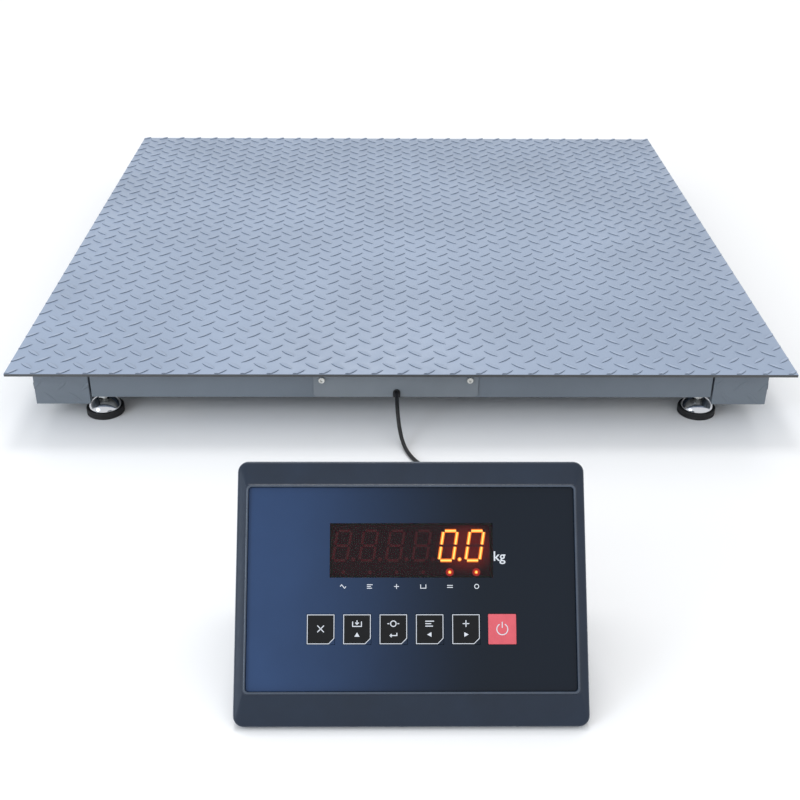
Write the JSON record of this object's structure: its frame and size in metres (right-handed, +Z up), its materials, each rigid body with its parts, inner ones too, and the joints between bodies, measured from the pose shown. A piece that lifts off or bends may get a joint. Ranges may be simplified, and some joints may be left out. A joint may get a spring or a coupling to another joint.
{
  "type": "pallet scale",
  "caption": "Square low-profile pallet scale with a tread-plate deck on levelling feet, and a wedge-shaped LED indicator in front of it on a signal cable.",
  "frame": {"origin": "centre of the deck's top face", "axes": "+X along the platform's front edge to the right, +Y from the indicator to the platform's rear, +Z up"},
  "size_m": [1, 1.534, 0.1955],
  "materials": {
    "tread_plate": "semi-gloss grey-blue enamel on tread plate",
    "frame_paint": "semi-gloss grey enamel",
    "cell_steel": "nickel-plated alloy steel, satin",
    "zinc_steel": "zinc-plated steel",
    "foot_chrome": "bright chrome plate",
    "foot_rubber": "matte black rubber",
    "junction_steel": "brushed stainless steel",
    "gland_nylon": "moulded black nylon",
    "circuit_board": "green solder mask",
    "cable_jacket": "black PVC jacket",
    "connector_metal": "nickel-plated connector shell",
    "case_plastic": "finely textured dark blue-black ABS",
    "overlay_film": "dark blue printed film",
    "window_red": "dark red tinted acrylic",
    "display_black": "black seven-segment module",
    "key_black": "black printed key",
    "key_red": "pink-red printed key",
    "battery_case": "moulded battery case"
  },
  "bodies": {
    "scale": {"access_cover": "frame_paint", "battery": "battery_case", "cable_clips": "zinc_steel", "cable_glands": "gland_nylon", "cable_grommet": "foot_rubber", "corner_box_front_left": "frame_paint", "corner_box_front_right": "frame_paint", "corner_box_rear_left": "frame_paint", "corner_box_rear_right": "frame_paint", "cover_screws": "zinc_steel", "deck_plate": "tread_plate", "display_module": "display_black", "display_window": "window_red", "front_channel": "frame_paint", "front_overlay": "overlay_film", "indicator_bezel": "case_plastic", "indicator_feet": "foot_rubber", "indicator_rear_shell": "case_plastic", "indicator_screws": "zinc_steel", "inner_ribs": "frame_paint", "junction_board": "circuit_board", "junction_box": "junction_steel", "junction_lid": "junction_steel", "left_channel": "frame_paint", "load_cell_bolts": "zinc_steel", "load_cell_cables": "cable_jacket", "load_cell_front_left": "cell_steel", "load_cell_front_right": "cell_steel", "load_cell_rear_left": "cell_steel", "load_cell_rear_right": "cell_steel", "main_board": "circuit_board", "rear_channel": "frame_paint", "rear_sockets": "connector_metal", "right_channel": "frame_paint", "signal_cable_coil": "cable_jacket", "signal_cable_lead": "cable_jacket", "signal_cable_tail": "cable_jacket", "signal_plug": "connector_metal"},
    "nut_front_left": {"foot_nut_front_left": "zinc_steel"},
    "stud_front_left": {"foot_stud_front_left": "zinc_steel"},
    "base_front_left": {"foot_cup_front_left": "foot_chrome", "foot_pad_front_left": "foot_rubber"},
    "nut_front_right": {"foot_nut_front_right": "zinc_steel"},
    "stud_front_right": {"foot_stud_front_right": "zinc_steel"},
    "base_front_right": {"foot_cup_front_right": "foot_chrome", "foot_pad_front_right": "foot_rubber"},
    "nut_rear_left": {"foot_nut_rear_left": "zinc_steel"},
    "stud_rear_left": {"foot_stud_rear_left": "zinc_steel"},
    "base_rear_left": {"foot_cup_rear_left": "foot_chrome", "foot_pad_rear_left": "foot_rubber"},
    "nut_rear_right": {"foot_nut_rear_right": "zinc_steel"},
    "stud_rear_right": {"foot_stud_rear_right": "zinc_steel"},
    "base_rear_right": {"foot_cup_rear_right": "foot_chrome", "foot_pad_rear_right": "foot_rubber"},
    "clear_key": {"key_clear": "key_black"},
    "tare_key": {"key_tare": "key_black"},
    "zero_key": {"key_zero": "key_black"},
    "function_key": {"key_function": "key_black"},
    "sum_key": {"key_sum": "key_black"},
    "power_key": {"key_power": "key_red"}
  },
  "joints": [
    {"name": "foot_front_left_height", "type": "slide", "parent": "scale", "child": "nut_front_left", "axis": [0, 0, -1], "range_m": [0, 0.007]},
    {"name": "foot_front_left_turn", "type": "hinge", "parent": "nut_front_left", "child": "stud_front_left", "pos_m": [-0.39, -0.453, -0.0675], "axis": [0, 0, -1], "range_deg": [0, 1440]},
    {"name": "foot_front_left_tilt", "type": "hinge", "parent": "nut_front_left", "child": "base_front_left", "pos_m": [-0.39, -0.453, -0.0675], "axis": [1, 0, 0], "range_deg": [-8, 8]},
    {"name": "foot_front_right_height", "type": "slide", "parent": "scale", "child": "nut_front_right", "axis": [0, 0, -1], "range_m": [0, 0.007]},
    {"name": "foot_front_right_turn", "type": "hinge", "parent": "nut_front_right", "child": "stud_front_right", "pos_m": [0.39, -0.453, -0.0675], "axis": [0, 0, -1], "range_deg": [0, 1440]},
    {"name": "foot_front_right_tilt", "type": "hinge", "parent": "nut_front_right", "child": "base_front_right", "pos_m": [0.39, -0.453, -0.0675], "axis": [1, 0, 0], "range_deg": [-8, 8]},
    {"name": "foot_rear_left_height", "type": "slide", "parent": "scale", "child": "nut_rear_left", "axis": [0, 0, -1], "range_m": [0, 0.007]},
    {"name": "foot_rear_left_turn", "type": "hinge", "parent": "nut_rear_left", "child": "stud_rear_left", "pos_m": [-0.39, 0.453, -0.0675], "axis": [0, 0, -1], "range_deg": [0, 1440]},
    {"name": "foot_rear_left_tilt", "type": "hinge", "parent": "nut_rear_left", "child": "base_rear_left", "pos_m": [-0.39, 0.453, -0.0675], "axis": [1, 0, 0], "range_deg": [-8, 8]},
    {"name": "foot_rear_right_height", "type": "slide", "parent": "scale", "child": "nut_rear_right", "axis": [0, 0, -1], "range_m": [0, 0.007]},
    {"name": "foot_rear_right_turn", "type": "hinge", "parent": "nut_rear_right", "child": "stud_rear_right", "pos_m": [0.39, 0.453, -0.0675], "axis": [0, 0, -1], "range_deg": [0, 1440]},
    {"name": "foot_rear_right_tilt", "type": "hinge", "parent": "nut_rear_right", "child": "base_rear_right", "pos_m": [0.39, 0.453, -0.0675], "axis": [1, 0, 0], "range_deg": [-8, 8]},
    {"name": "clear_key_press", "type": "slide", "parent": "scale", "child": "clear_key", "axis": [0, 0.788, -0.6157], "range_m": [0, 0.0005], "stiffness_N_per_m": 2000, "springref_m": -0.0002},
    {"name": "tare_key_press", "type": "slide", "parent": "scale", "child": "tare_key", "axis": [0, 0.788, -0.6157], "range_m": [0, 0.0005], "stiffness_N_per_m": 2000, "springref_m": -0.0002},
    {"name": "zero_key_press", "type": "slide", "parent": "scale", "child": "zero_key", "axis": [0, 0.788, -0.6157], "range_m": [0, 0.0005], "stiffness_N_per_m": 2000, "springref_m": -0.0002},
    {"name": "function_key_press", "type": "slide", "parent": "scale", "child": "function_key", "axis": [0, 0.788, -0.6157], "range_m": [0, 0.0005], "stiffness_N_per_m": 2000, "springref_m": -0.0002},
    {"name": "sum_key_press", "type": "slide", "parent": "scale", "child": "sum_key", "axis": [0, 0.788, -0.6157], "range_m": [0, 0.0005], "stiffness_N_per_m": 2000, "springref_m": -0.0002},
    {"name": "power_key_press", "type": "slide", "parent": "scale", "child": "power_key", "axis": [0, 0.788, -0.6157], "range_m": [0, 0.0005], "stiffness_N_per_m": 2000, "springref_m": -0.0002}
  ],
  "couplings": [
    {"joint": "foot_front_left_turn", "follows": "foot_front_left_height", "rad_per_m": 3590.4},
    {"joint": "foot_front_right_turn", "follows": "foot_front_right_height", "rad_per_m": 3590.4},
    {"joint": "foot_rear_left_turn", "follows": "foot_rear_left_height", "rad_per_m": 3590.4},
    {"joint": "foot_rear_right_turn", "follows": "foot_rear_right_height", "rad_per_m": 3590.4}
  ]
}
